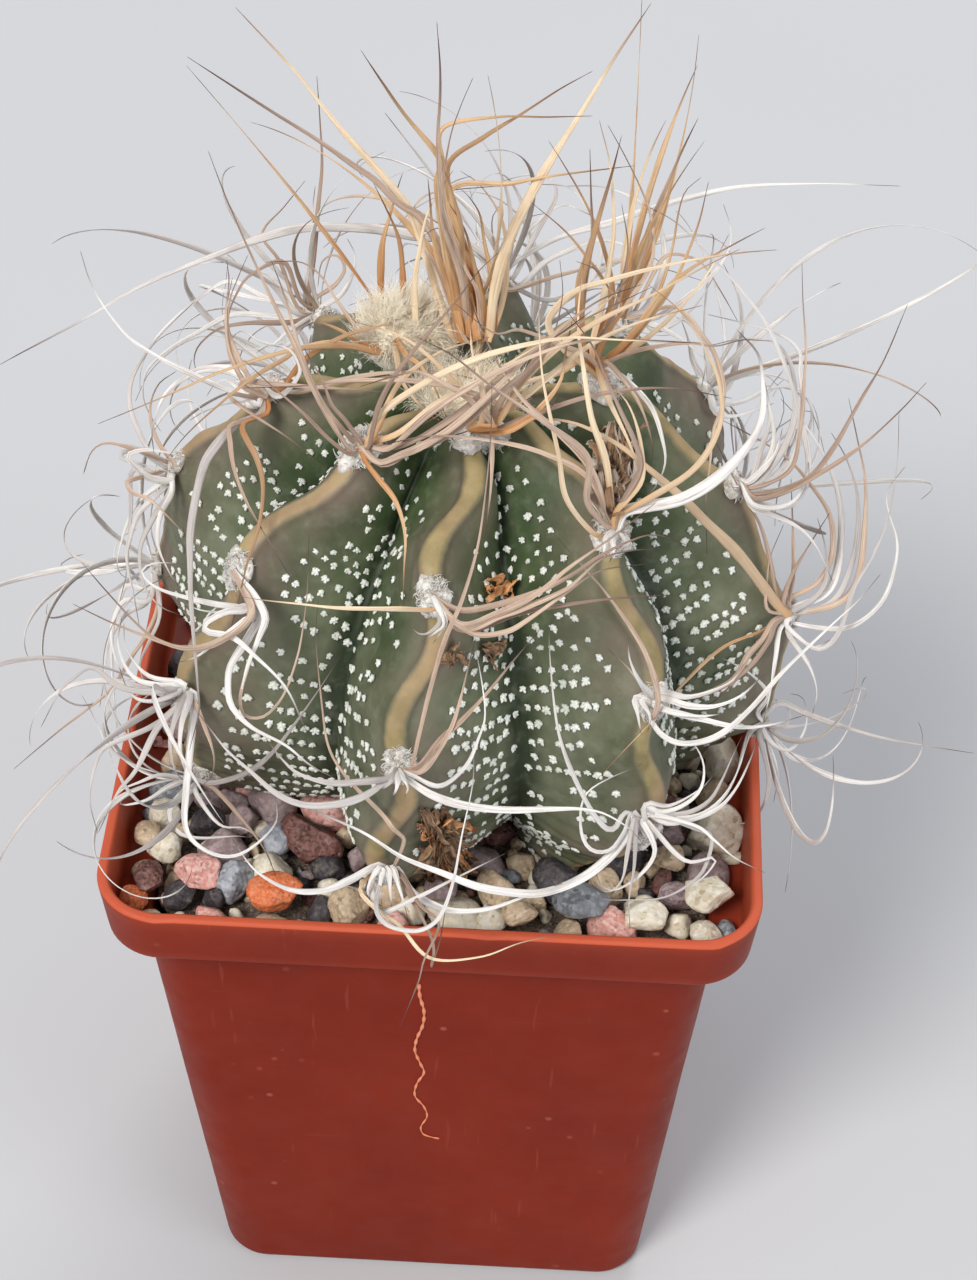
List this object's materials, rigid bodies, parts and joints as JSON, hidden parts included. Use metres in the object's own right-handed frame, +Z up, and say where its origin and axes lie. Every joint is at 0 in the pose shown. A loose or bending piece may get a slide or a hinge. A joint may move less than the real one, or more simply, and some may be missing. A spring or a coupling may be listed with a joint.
{
  "type": "potted round cactus",
  "caption": "Round ribbed cactus with long curling papery spines, in a square tapered plastic pot topped with loose gravel.",
  "frame": {"origin": "centre of the flat underside of the pot's base, on the surface that the pot stands on", "axes": "+Z up, along the pot's upright centre line; -Y towards the pot's front face; +X to the right seen from the front"},
  "size_m": [0.156, 0.1395, 0.2076],
  "materials": {
    "pot_plastic": "satin injection-moulded terracotta-red plastic, scuffed at the rim",
    "soil": "damp dark mineral potting mix",
    "gravel": "mixed washed grit in cream, grey, pink and brown",
    "stem_skin": "waxy grey-green skin with rows of white hair tufts, tan along the ridges",
    "wool": "soft cream felt and hair",
    "withered_flower": "dry papery brown flower remains",
    "young_spines": "flat golden-tan spines, darker at the tips",
    "old_spines": "flat chalk-white weathered spines with dark streaks",
    "granite": "pink granite chip",
    "brick": "orange fired-clay chip",
    "lava": "porous red-brown lava",
    "slate": "dark grey slate chip",
    "quartz": "cream and white quartz pebble"
  },
  "bodies": {
    "root": {"back_lava_stone": "lava", "back_quartz_stone": "quartz", "beige_quartz_stone": "quartz", "brick_stone": "brick", "cactus_stem": "stem_skin", "cream_quartz_stone": "quartz", "crown_wool": "wool", "gravel_dressing": "gravel", "grey_slate_stone": "slate", "pink_granite_stone": "granite", "pot": "pot_plastic", "potting_soil": "soil", "red_lava_stone": "lava", "sand_quartz_stone": "quartz", "spine_cluster_rib1_1": "young_spines", "spine_cluster_rib1_2": "old_spines", "spine_cluster_rib1_3": "old_spines", "spine_cluster_rib1_4": "old_spines", "spine_cluster_rib2_1": "young_spines", "spine_cluster_rib2_2": "old_spines", "spine_cluster_rib2_3": "old_spines", "spine_cluster_rib3_1": "young_spines", "spine_cluster_rib3_2": "old_spines", "spine_cluster_rib3_3": "old_spines", "spine_cluster_rib3_4": "old_spines", "spine_cluster_rib4_1": "young_spines", "spine_cluster_rib4_2": "old_spines", "spine_cluster_rib4_3": "old_spines", "spine_cluster_rib5_1": "young_spines", "spine_cluster_rib5_2": "old_spines", "spine_cluster_rib5_3": "old_spines", "spine_cluster_rib5_4": "old_spines", "spine_cluster_rib6_1": "young_spines", "spine_cluster_rib6_2": "old_spines", "spine_cluster_rib6_3": "old_spines", "spine_cluster_rib6_4": "old_spines", "spine_cluster_rib7_1": "young_spines", "spine_cluster_rib7_2": "old_spines", "spine_cluster_rib7_3": "old_spines", "spine_cluster_rib8_1": "young_spines", "spine_cluster_rib8_2": "old_spines", "spine_cluster_rib8_3": "old_spines", "spine_cluster_rib8_4": "old_spines", "white_quartz_stone": "quartz", "withered_flower_foot": "withered_flower", "withered_flower_front": "withered_flower", "withered_flower_right": "withered_flower"}
  },
  "joints": []
}
